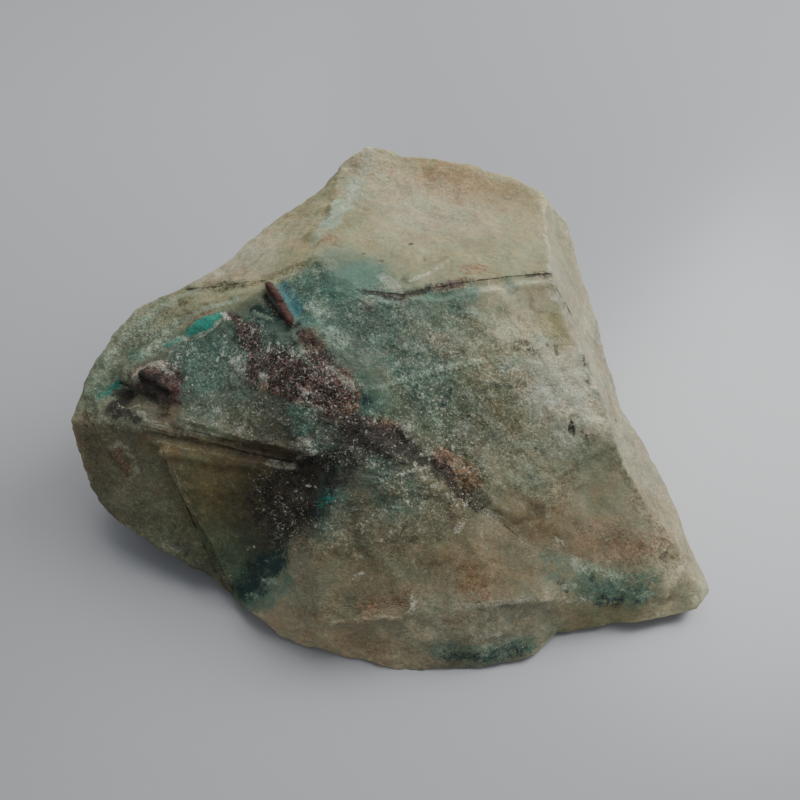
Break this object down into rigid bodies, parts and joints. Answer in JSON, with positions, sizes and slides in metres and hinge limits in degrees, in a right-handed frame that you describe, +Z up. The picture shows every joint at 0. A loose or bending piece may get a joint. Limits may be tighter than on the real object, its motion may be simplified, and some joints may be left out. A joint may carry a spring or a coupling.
{
  "type": "raw chrysocolla",
  "caption": "Raw chunk of chrysocolla in its pale host rock: a broken, wedge-shaped stone that rests on a flat break, for display or use as scenery.",
  "frame": {"origin": "middle of the stone's bounding box, on the flat break that it rests on", "axes": "+X along the stone's length, towards its low tip; +Y to the rear, where the high pale top face ends; +Z up"},
  "size_m": [0.1608, 0.1354, 0.0579],
  "materials": {
    "chrysocolla_rock": "dull, sugary broken rock, grey-green to pale tan, with teal copper mineral, dark red-brown patches and an olive face"
  },
  "bodies": {
    "root": {"chrysocolla_stone": "chrysocolla_rock"}
  },
  "joints": []
}
